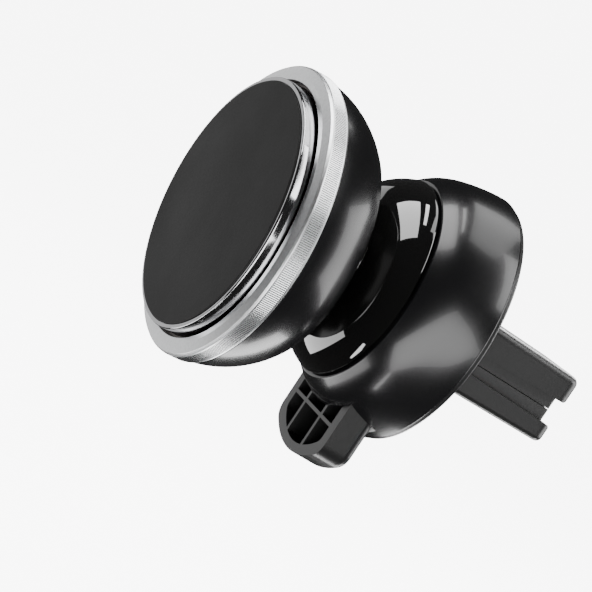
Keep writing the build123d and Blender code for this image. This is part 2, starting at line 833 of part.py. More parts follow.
corner_drop = button_reach - button_sag
with BuildPart() as release_button:
    with BuildSketch(facing_back(button_front)) as outline:
        with BuildLine():
            ThreePointArc(
                (-button_half_width, -corner_drop),
                (0, -button_reach),
                (button_half_width, -corner_drop),
            )
            Polyline(
                (button_half_width, -corner_drop),
                (button_half_width, -button_top),
                (-button_half_width, -button_top),
                (-button_half_width, -corner_drop),
            )
        make_face()
        fillet(outline.vertices().sort_by(Axis.Y)[:2], button_corner)
    extrude(amount=button_thickness)
    rear_edge = release_button.faces().sort_by(Axis.Y)[-1].edges()
    below_top = axis_height - button_top - 1
    fillet(rear_edge.filter_by(lambda edge: edge.center().Z < below_top), button_rear_round)
    with BuildSketch(facing_back(button_front)) as pockets:
        with BuildLine():
            ThreePointArc(
                (-button_half_width + button_side_wall, -corner_drop + button_end_wall),
                (0, -button_reach + button_end_wall),
                (button_half_width - button_side_wall, -corner_drop + button_end_wall),
            )
            Polyline(
                (button_half_width - button_side_wall, -corner_drop + button_end_wall),
                (button_half_width - button_side_wall, -button_top - button_roof),
                (-button_half_width + button_side_wall, -button_top - button_roof),
                (-button_half_width + button_side_wall, -corner_drop + button_end_wall),
            )
        make_face()
        fillet(pockets.vertices().sort_by(Axis.Y)[:2], button_corner / 2)
        with Locations((0, -rib_cross_drop)):
            Rectangle(2 * button_half_width, rib_cross, mode=Mode.SUBTRACT)
        with Locations((-rib_side, -button_reach / 2), (rib_side, -button_reach / 2)):
            Rectangle(rib_upright, 2 * button_reach, mode=Mode.SUBTRACT)
    extrude(amount=button_thickness - button_back_wall, mode=Mode.SUBTRACT)
    with BuildSketch(base_side):
        Polygon(
            (button_front + button_ridge, -button_top),
            (button_back, -button_top),
            (button_back, -button_top - button_travel - sliding_gap),
            align=None,
        )
    extrude(amount=ear_inner, both=True, mode=Mode.SUBTRACT)
    for side in (-1, 1):
        with BuildSketch(facing_back(ear_front)):
            Polygon(
                (side * ear_inner, -button_top - 0.6),
                (side * (button_half_width - 0.1), -button_top - 0.6),
                (side * (button_half_width - 0.1), -button_top),
                (side * ear_outer, -button_top),
                (side * ear_outer, -button_top + ear_height),
                (side * ear_inner, -button_top + ear_height),
                align=None,
            )
        extrude(amount=ear_depth)
release_button.part.label = "release_button"
export_step(release_button.part, "parts/release_button.step")
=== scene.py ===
# %% [markdown]
# # A magnetic phone mount for a car vent
# The mount is a round head on a ball joint, a domed base, and a clip that grips a vent blade.
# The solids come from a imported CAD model. This lesson dresses them: it turns new glossy skins on the
# CAD pieces' own axes, cuts the knurl and winds the springs with Geometry Nodes, and paints every piece.

# %% Load the CAD frame
import bpy
import bmesh
import json
import math
import numpy as np
from mathutils import Matrix, Vector


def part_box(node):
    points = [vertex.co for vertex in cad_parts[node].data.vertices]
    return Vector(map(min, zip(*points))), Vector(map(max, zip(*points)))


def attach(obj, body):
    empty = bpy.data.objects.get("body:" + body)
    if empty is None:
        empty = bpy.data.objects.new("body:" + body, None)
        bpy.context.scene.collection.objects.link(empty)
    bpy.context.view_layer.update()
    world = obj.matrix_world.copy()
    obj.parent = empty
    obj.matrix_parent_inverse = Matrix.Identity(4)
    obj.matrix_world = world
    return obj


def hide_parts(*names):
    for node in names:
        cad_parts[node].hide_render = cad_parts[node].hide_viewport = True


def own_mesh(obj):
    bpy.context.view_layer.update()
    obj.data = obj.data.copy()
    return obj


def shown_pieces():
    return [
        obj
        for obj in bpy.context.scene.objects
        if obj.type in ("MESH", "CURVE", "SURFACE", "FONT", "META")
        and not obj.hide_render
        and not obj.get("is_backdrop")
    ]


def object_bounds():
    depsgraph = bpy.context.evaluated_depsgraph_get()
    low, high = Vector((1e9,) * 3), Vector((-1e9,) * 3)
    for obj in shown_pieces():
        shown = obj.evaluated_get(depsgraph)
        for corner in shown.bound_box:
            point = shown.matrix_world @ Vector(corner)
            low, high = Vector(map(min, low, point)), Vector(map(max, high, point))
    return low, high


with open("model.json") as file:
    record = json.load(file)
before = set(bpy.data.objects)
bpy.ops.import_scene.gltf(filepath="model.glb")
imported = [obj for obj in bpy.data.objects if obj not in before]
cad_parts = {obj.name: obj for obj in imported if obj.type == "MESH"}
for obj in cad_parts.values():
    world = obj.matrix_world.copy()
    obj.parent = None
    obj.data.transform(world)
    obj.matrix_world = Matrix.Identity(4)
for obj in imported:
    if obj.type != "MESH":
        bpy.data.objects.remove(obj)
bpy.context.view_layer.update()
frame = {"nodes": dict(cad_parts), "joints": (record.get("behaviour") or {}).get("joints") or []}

MM = 0.001
SHARP_ANGLE = math.radians(32)
joints = {joint["name"]: joint for joint in frame["joints"]}

# %% [markdown]
# ## Two axes
# Everything round here is turned about one of two lines through the ball: the head's own axis,
# and the base's axis. The ball's centre and the head's axis are read from the joints, so a new CAD
# pack moves the skins with it; the base's axis is set to point along minus Y.
# Each axis gets a matrix that takes local Z to the direction "ahead", away from the clip.

# %% Axes and measuring
ball = Vector(joints["head_spin"]["pos_m"])


def axis_place(ahead):
    """Matrix whose local Z points ahead and whose origin is the ball's centre."""
    ahead = Vector(ahead).normalized()
    across = Vector((0, 0, 1)).cross(ahead).normalized() * -1
    above = ahead.cross(across)
    turned = Matrix((across, above, ahead)).transposed()
    return Matrix.Translation(ball) @ turned.to_4x4()


HEAD = axis_place(joints["head_spin"]["axis"])
BASE = axis_place((0, -1, 0))


def points_of(node, place):
    """(radius, distance ahead of the ball) of every vertex of a CAD node."""
    local = place.inverted()
    found = np.array([local @ v.co for v in frame["nodes"][node].data.vertices])
    return np.column_stack((np.hypot(found[:, 0], found[:, 1]), found[:, 2]))


def measure(node, place):
    """Back, front, smallest and largest radius of a CAD node about an axis."""
    rd = points_of(node, place)
    return rd[:, 1].min(), rd[:, 1].max(), rd[:, 0].min(), rd[:, 0].max()


for node in ("front_pad", "bezel_ring"):
    print(node, [round(value / MM, 2) for value in measure(node, HEAD)])

# %% [markdown]
# ## Outlines
# A turned piece is only as good as its outline. Corners on real mouldings are never sharp: each one
# here is cut back into a small arc, with a support point on both sides, so flat faces shade flat.
# Roundings are given in millimetres.
# Curved walls are fitted to the CAD solid's own silhouette, which keeps skin and solid together.

# %% Rounded corners and fitted walls
SUPPORT = 0.12 * MM
NEAR = 1e-6


def rounded(corners, closed=False, steps=6):
    """Points of an outline from (radius, distance, rounding in mm) corners."""
    points = []
    last = len(corners) - 1
    for i, (radius, distance, bend) in enumerate(corners):
        here = Vector((radius, distance))
        if bend == 0 or (not closed and i in (0, last)):
            points.append(here)
            continue
        u = Vector(corners[i - 1][:2]) - here
        v = Vector(corners[(i + 1) % len(corners)][:2]) - here
        room = 0.45 * min(u.length, v.length)
        half = u.angle(v) / 2
        cut = min(bend * MM / math.tan(half), room)
        arc = cut * math.tan(half)
        u.normalize()
        v.normalize()
        middle = here + (u + v).normalized() * (arc / math.sin(half))
        support = min(SUPPORT, room - cut)
        points.append(here + u * (cut + support))
        start, end = here + u * cut - middle, here + v * cut - middle
        sweep = start.angle_signed(end)
        for k in range(steps + 1):
            a = -sweep * k / steps
            cosine, sine = math.cos(a), math.sin(a)
            spun = Vector((start.x * cosine - start.y * sine, start.x * sine + start.y * cosine))
            points.append(middle + spun)
        points.append(here + v * (cut + support))
    if closed:
        points.append(points[0].copy())
    return points


def smooth_through(x, y, at):
    """Natural cubic curve through points, read at other places."""
    n, h = len(x), np.diff(x)
    matrix, slopes = np.eye(n), np.zeros(n)
    for k in range(1, n - 1):
        matrix[k, k - 1 : k + 2] = h[k - 1], 2 * (h[k - 1] + h[k]), h[k]
        slopes[k] = 6 * ((y[k + 1] - y[k]) / h[k] - (y[k] - y[k - 1]) / h[k - 1])
    m = np.linalg.solve(matrix, slopes)
    k = np.clip(np.searchsorted(x, at) - 1, 0, n - 2)
    t = at - x[k]
    rise = (y[k + 1] - y[k]) / h[k] - h[k] * (2 * m[k] + m[k + 1]) / 6
    return y[k] + t * rise + t**2 * m[k] / 2 + t**3 * (m[k + 1] - m[k]) / (6 * h[k])


def fitted_wall(node, place, low, high, knots=9, count=48):
    """Smooth outer wall of a convex CAD piece between two distances, as (radius, distance, 0) corners."""
    rd = points_of(node, place)
    rd = rd[(rd[:, 1] >= low - NEAR) & (rd[:, 1] <= high + NEAR)]
    rd = rd[np.lexsort((-rd[:, 0], rd[:, 1]))]
    hull = []
    for p in rd:
        while len(hull) > 1:
            (r0, d0), (r1, d1) = hull[-2], hull[-1]
            if (r1 - r0) * (p[1] - d0) > (p[0] - r0) * (d1 - d0):
                break
            hull.pop()
        hull.append(tuple(p))
    hull = np.array([p for k, p in enumerate(hull) if k == 0 or p[1] - hull[k - 1][1] > 1e-5])
    picks = sorted({int(abs(hull[:, 1] - d).argmin()) for d in np.linspace(low, high, knots)})
    at = np.linspace(hull[picks[0], 1], hull[picks[-1], 1], count)
    radii = smooth_through(hull[picks, 1], hull[picks, 0], at)
    bend = np.diff(np.diff(radii))
    print(node, "wall through", len(picks), "of", len(hull), "points, hollow steps", int((bend > 1e-7).sum()))
    return [(float(radius), float(d), 0) for radius, d in zip(radii, at)]


# %% [markdown]
# ## A node tree that turns an outline
# The lathe is a small Geometry Nodes tree. A grid has one column for each outline point and one row
# for each step around. Every grid point looks up its outline point and swings it about the axis.
# Merging by distance closes the seam and the poles. The local position is stored for the materials.

# %% Node tree helpers


def new_tree(name, inputs):
    """Empty geometry tree with named inputs and one geometry output."""
    tree = bpy.data.node_groups.new(name, "GeometryNodeTree")
    sockets = {}
    for label, kind in inputs:
        sockets[label] = tree.interface.new_socket(label, in_out="INPUT", socket_type=kind).identifier
    tree.interface.new_socket("Geometry", in_out="OUTPUT", socket_type="NodeSocketGeometry")
    entry = tree.nodes.new("NodeGroupInput")
    leave = tree.nodes.new("NodeGroupOutput")
    return tree, sockets, entry, leave


def add(tree, kind, links=None, **settings):
    """Add a node, set its properties, and link or fill its inputs."""
    node = tree.nodes.new(kind)
    for key, value in settings.items():
        setattr(node, key, value)
    for key, value in (links or {}).items():
        socket = node.inputs[key]
        if isinstance(value, bpy.types.NodeSocket):
            tree.links.new(value, socket)
        else:
            socket.default_value = value
    return node


def maths(tree, operation, a, b=0.0):
    """Output of a maths node."""
    return add(tree, "ShaderNodeMath", {0: a, 1: b}, operation=operation).outputs[0]


def run_tree(name, tree, sockets, values, place):
    """Evaluate a tree with these input values and keep its result as a plain mesh piece."""
    host = bpy.data.objects.new(name + ".host", bpy.data.meshes.new(name + ".host"))
    bpy.context.scene.collection.objects.link(host)
    modifier = host.modifiers.new("build", "NODES")
    modifier.node_group = tree
    for label, value in values.items():
        modifier[sockets[label]] = value
    bpy.context.view_layer.update()
    mesh = bpy.data.meshes.new_from_object(host.evaluated_get(bpy.context.evaluated_depsgraph_get()))
    bpy.data.objects.remove(host)
    mesh.name = name
    mesh.transform(place)
    work = bmesh.new()
    work.from_mesh(mesh)
    bmesh.ops.recalc_face_normals(work, faces=work.faces)
    work.to_mesh(mesh)
    work.free()
    mesh.shade_smooth()
    mesh.set_sharp_from_angle(angle=SHARP_ANGLE)
    piece = bpy.data.objects.new(name, mesh)
    bpy.context.scene.collection.objects.link(piece)
    return piece


def position(tree):
    """Output that gives each point's place."""
    return add(tree, "GeometryNodeInputPosition").outputs[0]


def turned_place(tree):
    """The stored local place of a turned piece, split into its three parts."""
    stored = add(tree, "ShaderNodeAttribute", attribute_name="turned").outputs["Vector"]
    return add(tree, "ShaderNodeSeparateXYZ", {0: stored}).outputs


def send_out(tree, geometry, entry, leave):
    """Make the instances real, give them the tree's material and link them to its output."""
    real = add(tree, "GeometryNodeRealizeInstances", {"Geometry": geometry})
    inputs = {"Geometry": real.outputs[0], "Material": entry.outputs["Material"]}
    painted = add(tree, "GeometryNodeSetMaterial", inputs)
    tree.links.new(painted.outputs[0], leave.inputs[0])


def dress(piece, body, node):
    """Ride on the body and stand for the node, whose CAD mesh is hidden."""
    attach(piece, body)
    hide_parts(node)


# %% [markdown]
# The tree itself follows. It spreads a unit grid, reads the outline point for each column, and swings
# it by the angle of its row.

# %% The lathe tree
lathe, lathe_in, entry, leave = new_tree(
    "turn_outline",
    [("Outline", "NodeSocketObject"), ("Steps", "NodeSocketInt"), ("Material", "NodeSocketMaterial")],
)
outline_mesh = add(lathe, "GeometryNodeObjectInfo", {"Object": entry.outputs["Outline"]}).outputs["Geometry"]
along = add(lathe, "GeometryNodeAttributeDomainSize", {"Geometry": outline_mesh}).outputs["Point Count"]
around = maths(lathe, "ADD", entry.outputs["Steps"], 1.0)
grid_size = {"Size X": 1.0, "Size Y": 1.0, "Vertices X": along, "Vertices Y": around}
grid = add(lathe, "GeometryNodeMeshGrid", grid_size)
where = add(lathe, "ShaderNodeSeparateXYZ", {0: position(lathe)})
last_column = maths(lathe, "SUBTRACT", along, 1.0)
across_grid = maths(lathe, "ADD", where.outputs[0], 0.5)
column = maths(lathe, "ROUND", maths(lathe, "MULTIPLY", across_grid, last_column))
turn = maths(lathe, "MULTIPLY", maths(lathe, "ADD", where.outputs[1], 0.5), math.tau)
lookup = add(lathe, "GeometryNodeSampleIndex", data_type="FLOAT_VECTOR")
lathe.links.new(outline_mesh, lookup.inputs["Geometry"])
lathe.links.new(position(lathe), lookup.inputs["Value"])
lathe.links.new(column, lookup.inputs["Index"])
found = add(lathe, "ShaderNodeSeparateXYZ", {0: lookup.outputs[0]})
swung = add(lathe, "ShaderNodeCombineXYZ", {
    0: maths(lathe, "MULTIPLY", found.outputs[0], maths(lathe, "COSINE", turn)),
    1: maths(lathe, "MULTIPLY", found.outputs[0], maths(lathe, "SINE", turn)),
    2: found.outputs[2],
})
new_place = {"Geometry": grid.outputs["Mesh"], "Position": swung.outputs[0]}
moved = add(lathe, "GeometryNodeSetPosition", new_place)
merged = add(lathe, "GeometryNodeMergeByDistance", {"Geometry": moved.outputs[0], "Distance": NEAR})
stored = add(
    lathe, "GeometryNodeStoreNamedAttribute", {"Geometry": merged.outputs[0], "Name": "turned"},
    data_type="FLOAT_VECTOR", domain="POINT",
)
lathe.links.new(position(lathe), stored.inputs["Value"])
send_out(lathe, stored.outputs[0], entry, leave)


def turned_piece(name, points, place, material, body, node, steps=256):
    """Turn an outline into a finished piece that rides on a body and stands for a CAD node."""
    mesh = bpy.data.meshes.new(name + ".outline")
    mesh.from_pydata([(p.x, 0, p.y) for p in points], [(i, i + 1) for i in range(len(points) - 1)], [])
    guide = bpy.data.objects.new(name + ".outline", mesh)
    bpy.context.scene.collection.objects.link(guide)
    piece = run_tree(name, lathe, lathe_in, {"Outline": guide, "Steps": steps, "Material": material}, place)
    bpy.data.objects.remove(guide)
    if node:
        dress(piece, body, node)
    print(name, len(piece.data.polygons), "faces")
    return piece


def cut_box(piece, lowest, highest):
    """Cut a plain box out of a piece and keep the result as its mesh."""
    box_mesh = bpy.data.meshes.new("cutter")
    work = bmesh.new()
    bmesh.ops.create_cube(work, size=1.0)
    bmesh.ops.scale(work, vec=highest - lowest, verts=work.verts)
    bmesh.ops.translate(work, vec=(highest + lowest) / 2, verts=work.verts)
    work.to_mesh(box_mesh)
    work.free()
    cutter = bpy.data.objects.new("cutter", box_mesh)
    bpy.context.scene.collection.objects.link(cutter)
    modifier = piece.modifiers.new("cut", "BOOLEAN")
    modifier.object = cutter
    modifier.operation = "DIFFERENCE"
    modifier.solver = "EXACT"
    bpy.context.view_layer.update()
    result = bpy.data.meshes.new_from_object(piece.evaluated_get(bpy.context.evaluated_depsgraph_get()))
    piece.modifiers.remove(modifier)
    piece.data = result
    bpy.data.objects.remove(cutter)
    result.set_sharp_from_angle(angle=SHARP_ANGLE)


# %% [markdown]
# ## Materials
# Every finish is procedural. A base helper gives a Principled shader whose roughness wanders a little
# and whose surface has a fine grain, both read from Object coordinates. Turned metals add rings that
# follow the stored local position, so the lines run the way a lathe tool leaves them.

# %% Material helper
DARKER, LIGHTER = 0.82, 1.15
COAT_ROUGHNESS = 0.03
SLOW_SCALE = 60.0
RELIEF_DEPTH = 0.0001


def finish(name, base, roughness, metallic=0.0, wander=0.04, grain=2500.0, bump=0.02, coat=0.0, shine=0.5):
    """Principled material with wandering roughness and a fine grain."""
    made = bpy.data.materials.new(name)
    made.use_nodes = True
    tree = made.node_tree
    shader = tree.nodes["Principled BSDF"]
    shader.inputs["Metallic"].default_value = metallic
    shader.inputs["Specular IOR Level"].default_value = shine
    shader.inputs["Coat Weight"].default_value = coat
    shader.inputs["Coat Roughness"].default_value = COAT_ROUGHNESS
    place = add(tree, "ShaderNodeTexCoord").outputs["Object"]
    slow = add(tree, "ShaderNodeTexNoise", {"Vector": place, "Scale": SLOW_SCALE, "Detail": 4.0})
    fast = add(tree, "ShaderNodeTexNoise", {"Vector": place, "Scale": grain, "Detail": 3.0})
    rough = add(tree, "ShaderNodeMapRange", {
        "Value": slow.outputs[0], "From Min": 0.3, "From Max": 0.7,
        "To Min": max(0.0, roughness - wander), "To Max": roughness + wander,
    })
    tree.links.new(rough.outputs[0], shader.inputs["Roughness"])
    dark = tuple(value * DARKER for value in base) + (1,)
    light = tuple(min(1.0, value * LIGHTER) for value in base) + (1,)
    tint = add(tree, "ShaderNodeMix", {0: fast.outputs[0]}, data_type="RGBA")
    tint.inputs[6].default_value = dark
    tint.inputs[7].default_value = light
    tree.links.new(tint.outputs[2], shader.inputs["Base Color"])
    relief = add(tree, "ShaderNodeBump", {
        "Height": fast.outputs[0], "Strength": bump, "Distance": RELIEF_DEPTH,
    })
    tree.links.new(relief.outputs[0], shader.inputs["Normal"])
    made["shader"] = shader.name
    return made


pad_black = finish("pad_black", (0.003, 0.003, 0.003), 0.6, wander=0.05, bump=0.25, grain=3500, shine=0.28)
gloss_black = finish("gloss_black", (0.003, 0.003, 0.0034), 0.24, wander=0.03, bump=0.01, coat=0.15)
collar_black = finish("collar_black", (0.004, 0.004, 0.004), 0.04, wander=0.012, bump=0.004, coat=1.0)
satin_black = finish("satin_black", (0.006, 0.006, 0.006), 0.33, wander=0.05, bump=0.12, grain=3000)
jaw_rubber = finish("jaw_rubber", (0.008, 0.008, 0.008), 0.55, wander=0.06, bump=0.2, grain=2200)
mirror_metal = finish("mirror_metal", (0.80, 0.80, 0.81), 0.07, metallic=1.0, wander=0.02, bump=0.01)
zinc = finish("zinc", (0.62, 0.62, 0.60), 0.30, metallic=1.0, wander=0.06, bump=0.05)
spring_metal = finish("spring_metal", (0.45, 0.45, 0.45), 0.25, metallic=1.0, wander=0.05, bump=0.03)
nickel = finish("nickel", (0.66, 0.63, 0.58), 0.16, metallic=1.0, wander=0.05, bump=0.02)
carrier_grey = finish("carrier_grey", (0.32, 0.32, 0.30), 0.5, bump=0.08)
liner_white = finish("liner_white", (0.70, 0.70, 0.66), 0.38, bump=0.05)

# %% [markdown]
# The bezel is turned aluminium. Its grain is a stack of fine rings: a noise that is stretched along
# the turning direction, because it only reads the radius and the distance along the axis.

# %% Turned aluminium
turned_metal = finish("turned_metal", (0.78, 0.79, 0.80), 0.32, metallic=1.0, wander=0.05, bump=0.02)
tree = turned_metal.node_tree
shader = tree.nodes[turned_metal["shader"]]
local = turned_place(tree)
squares = [maths(tree, "POWER", local[k], 2.0) for k in (0, 1)]
reach = maths(tree, "SQRT", maths(tree, "ADD", *squares))
ring_place = add(tree, "ShaderNodeCombineXYZ", {0: reach, 1: local[2], 2: 0.0})
rings = add(tree, "ShaderNodeTexNoise", {"Vector": ring_place.outputs[0], "Scale": 9000.0, "Detail": 2.0})
relief = add(tree, "ShaderNodeBump", {"Height": rings.outputs[0], "Strength": 0.16, "Distance": 0.00005})
tree.links.new(relief.outputs[0], shader.inputs["Normal"])
knurled_metal = finish("knurled_metal", (0.74, 0.75, 0.76), 0.22, metallic=1.0, wander=0.05, bump=0.03)
print("materials", len(bpy.data.materials))

# %% [markdown]
# ## The head
# Four turned skins make the head. The pad sits 0.2 mm proud in the polished cap. Between the cap's
# bright wall and the bezel runs a groove in shade, so the cap carries painted shade, a dark red-brown,
# below the bezel's face.

# %% Pad and cap
pad_back, pad_front, _, pad_radius = measure("front_pad", HEAD)
bezel_back, bezel_front, bezel_inner, bezel_radius = measure("bezel_ring", HEAD)
cap_back, _, _, flange_radius = measure("magnet_cap", HEAD)
pad_proud = 0.2 * MM
pad_slack = 0.05 * MM
groove_width = 0.5 * MM
groove_depth = 0.95 * MM
cap_wall = 1.1 * MM
cap_floor = 0.8 * MM
fade = 0.1 * MM
cap_front = pad_front - pad_proud
cap_radius = bezel_inner - groove_width
cap_inner = cap_radius - cap_wall
recess_radius = pad_radius + pad_slack
flange_front = bezel_front - groove_depth

turned_piece("soft_pad", rounded([
    (0, pad_back, 0), (pad_radius, pad_back, 0), (pad_radius, pad_front, 0.15), (0, pad_front, 0),
]), HEAD, pad_black, "head", "front_pad")

cap_metal = finish("cap_metal", (0.42, 0.42, 0.43), 0.09, metallic=1.0, wander=0.02, bump=0.01)
tree = cap_metal.node_tree
shader = tree.nodes[cap_metal["shader"]]
local = turned_place(tree)
# Painted shade: below the bezel's face the cap's colour fades to a dark red-brown, standing in for the
# groove's shade.
fade_range = {"Value": local[2], "From Min": bezel_front + fade, "From Max": bezel_front - fade}
groove_shade_mask = add(tree, "ShaderNodeMapRange", fade_range)
painted_groove_shade = add(tree, "ShaderNodeMix", {0: groove_shade_mask.outputs[0]}, data_type="RGBA")
tree.links.new(shader.inputs["Base Color"].links[0].from_socket, painted_groove_shade.inputs[6])
painted_groove_shade.inputs[7].default_value = (0.012, 0.005, 0.003, 1)
tree.links.new(painted_groove_shade.outputs[2], shader.inputs["Base Color"])
turned_piece("polished_cap", rounded([
    (0, pad_back, 0), (recess_radius, pad_back, 0), (recess_radius, cap_front, 0.05),
    (cap_radius, cap_front, 0.3), (cap_radius, flange_front, 0.1), (flange_radius, flange_front, 0),
    (flange_radius, cap_back, 0), (cap_inner, cap_back, 0),
    (cap_inner, pad_back - cap_floor, 0), (0, pad_back - cap_floor, 0),
]), HEAD, cap_metal, "head", "magnet_cap", steps=320)

# %% [markdown]
# The bezel has a flat turned face, a bevel at its outer edge, and a wall that lies a little inside the
# CAD ring's, so that the ribs of the knurl can stand out of it.

# %% Bezel ring
rib_stand = 0.06 * MM
bevel_width = 1.6 * MM
bevel_drop = 0.4 * MM
edge_inset = 0.3 * MM
edge_drop = 0.7 * MM
back_bevel = 0.25 * MM
face_thickness = 0.9 * MM
bore_slack = 0.1 * MM
wall_radius = bezel_radius - rib_stand
edge_radius = bezel_radius - edge_inset
bore_radius = flange_radius + bore_slack
face_back = bezel_front - face_thickness
turned_piece("silver_bezel", rounded([
    (bezel_inner, bezel_front, 0.1), (bezel_radius - bevel_width, bezel_front, 0.12),
    (edge_radius, bezel_front - bevel_drop, 0.1), (wall_radius, bezel_front - edge_drop, 0.1),
    (wall_radius, bezel_back + back_bevel, 0.05), (edge_radius, bezel_back, 0.05),
    (bore_radius, bezel_back, 0), (bore_radius, face_back, 0), (bezel_inner, face_back, 0.05),
], closed=True), HEAD, turned_metal, "head", "bezel_ring", steps=384)

# %% [markdown]
# The knurl is several hundred straight ribs round the bezel's edge. One rib is a four-sided bar set
# on its corner, so only a fine ridge stands out of the wall. The tree sets one at each point of a
# circle and turns it to face outward. Changing the rib count rescales the pitch and nothing else.

# %% Knurl
knurl, knurl_in, entry, leave = new_tree("knurl", [
    ("Ribs", "NodeSocketInt"), ("Radius", "NodeSocketFloat"), ("Rib Length", "NodeSocketFloat"),
    ("Rib Size", "NodeSocketFloat"), ("Material", "NodeSocketMaterial"),
])
ring = {"Vertices": entry.outputs["Ribs"], "Radius": entry.outputs["Radius"]}
circle = add(knurl, "GeometryNodeMeshCircle", ring)
rib = add(knurl, "GeometryNodeMeshCylinder", {
    "Vertices": 4, "Radius": entry.outputs["Rib Size"], "Depth": entry.outputs["Rib Length"],
})
where = add(knurl, "ShaderNodeSeparateXYZ", {0: position(knurl)})
outward = maths(knurl, "ARCTAN2", where.outputs[1], where.outputs[0])
facing = add(knurl, "ShaderNodeCombineXYZ", {2: outward})
set_ribs = add(knurl, "GeometryNodeInstanceOnPoints", {
    "Points": circle.outputs[0], "Instance": rib.outputs["Mesh"], "Rotation": facing.outputs[0],
})
send_out(knurl, set_ribs.outputs[0], entry, leave)

rib_size = 0.13 * MM
rib_count = 470
ribs_from_back = 0.45 * MM
ribs_from_front = 0.95 * MM
wall_from, wall_to = bezel_back + ribs_from_back, bezel_front - ribs_from_front
ribs = run_tree("bezel_knurl", knurl, knurl_in, {
    "Ribs": rib_count, "Radius": bezel_radius - rib_size, "Rib Length": wall_to - wall_from,
    "Rib Size": rib_size, "Material": knurled_metal,
}, HEAD @ Matrix.Translation((0, 0, (wall_from + wall_to) / 2)))
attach(ribs, "head")
print("knurl pitch", round(math.tau * bezel_radius / rib_count / MM, 3), "mm")

# %% [markdown]
# The bowl's wall is fitted to the CAD housing. Inside it is a plain shell with a hub round the journal.

# %% Bowl
seam = 0.02 * MM
shell_wall = 1.0 * MM
rim_wall = 1.4 * MM
bowl_floor = 1.6 * MM
hub_radius = 5.0 * MM
hub_height = 4.0 * MM
bowl_back, bowl_front, journal, _ = measure("head_housing", HEAD)
outer = fitted_wall("head_housing", HEAD, bowl_back, bezel_back)
rim = outer[0][0]
seam_at = bezel_back - seam
floor_at = bowl_back + bowl_floor
spigot_inner = flange_radius - shell_wall
turned_piece("gloss_bowl", rounded(
    [(journal, bowl_back, 0.1), (rim, bowl_back, 0.5)]
    + outer[3:-1]
    + [(outer[-1][0], seam_at, 0.15), (flange_radius, seam_at, 0), (flange_radius, bowl_front, 0),
       (spigot_inner, bowl_front, 0), (spigot_inner, bezel_back - shell_wall, 0),
       (rim - rim_wall, floor_at, 1.0), (hub_radius, floor_at, 0),
       (hub_radius, bowl_back + hub_height, 0), (journal, bowl_back + hub_height, 0)],
    closed=True), HEAD, gloss_black, "head", "head_housing")

# %% [markdown]
# ## The base
# The collar is the most mirror-like piece, so its skin gets the finest outline. Its bore widens
# towards the ball's centre.

# %% Collar
collar_gap = 0.4 * MM
skirt_slack = 0.05 * MM
skirt_wall = 1.1 * MM
lip_width = 1.4 * MM
lip_thickness = 0.35 * MM
lip_bend = 0.3 * MM
throat = ((5.6, 3.9, 0.1), (6.3, 2.6, 0), (6.7, 1.2, 0), (6.8, 0, 0))
skirt_back, collar_front, _, collar_radius = measure("collar_ring", BASE)
body_back, body_front, body_bore, body_radius = measure("base_body", BASE)
flange_at = body_front + collar_gap
lip_back = flange_at - lip_thickness
skirt_radius = body_bore - skirt_slack
skirt_inner = skirt_radius - skirt_wall
collar_wall = fitted_wall("collar_ring", BASE, flange_at + lip_bend, collar_front, count=64)
front_radius = collar_wall[-1][0]
turned_piece("mirror_collar", rounded(
    [(collar_radius - lip_width, lip_back, 0), (collar_radius - lip_width, flange_at, 0),
     (collar_radius, flange_at, 0.25)]
    + collar_wall[1:-2]
    + [(front_radius, collar_front, 0.5), (front_radius - skirt_wall, collar_front, 0.3)]
    + [(radius * MM, distance * MM, bend) for radius, distance, bend in throat]
    + [(skirt_inner, 0, 0), (skirt_inner, skirt_back, 0), (skirt_radius, skirt_back, 0),
       (skirt_radius, lip_back, 0)],
    closed=True), BASE, collar_black, "base", "collar_ring", steps=384)

# %% [markdown]
# The base is a dome with a lining that follows its wall. Two plain boxes are cut out of it: the slot that
# the button slides in, and the pocket that holds the button's ears.

# %% Base dome and the button's slot
dome = fitted_wall("base_body", BASE, body_back, body_front)
wall = 1.6 * MM
lining_drop = 0.2 * MM
shelf_width = 1.0 * MM
shelf_depth = 1.8 * MM
lining = [(radius - wall, distance - lining_drop, 0) for radius, distance, _ in dome[3:-9]]
dome_bore = skirt_radius + skirt_slack
shelf_at = body_front - shelf_depth
shell = turned_piece("gloss_dome", rounded(
    [(dome_bore, body_front, 0.05), (dome[-1][0], body_front, 0.35)]
    + dome[-4:2:-1]
    + [(body_radius, body_back, 0.3), (body_radius - wall, body_back, 0.1)]
    + lining
    + [(lining[-1][0] - shelf_width, shelf_at, 0), (dome_bore, shelf_at, 0)],
    closed=True), BASE, gloss_black, "base", None, steps=320)

low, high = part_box("release_button")
travel = joints["button_push"]["range_m"][1]
gap = 0.2 * MM
slot_inset = 1.0 * MM
slot_reach = 5 * MM
ear_depth = 0.5 * MM
cut_low = Vector((low.x + slot_inset - gap, low.y - gap, low.z - slot_reach))
cut_high = Vector((high.x - slot_inset + gap, high.y + gap, high.z + travel + gap))
cut_box(shell, cut_low, cut_high)
button_points = [v.co for v in frame["nodes"]["release_button"].data.vertices]
ear_points = [point for point in button_points if abs(point.x) > high.x - ear_depth]
ear_low = Vector([min(point[k] for point in ear_points) - gap for k in range(3)])
ear_high = Vector([max(point[k] for point in ear_points) + gap for k in range(3)])
ear_high.z += travel
cut_box(shell, ear_low, ear_high)
dress(shell, "base", "base_body")
print("dome with its slot", len(shell.data.polygons), "faces")
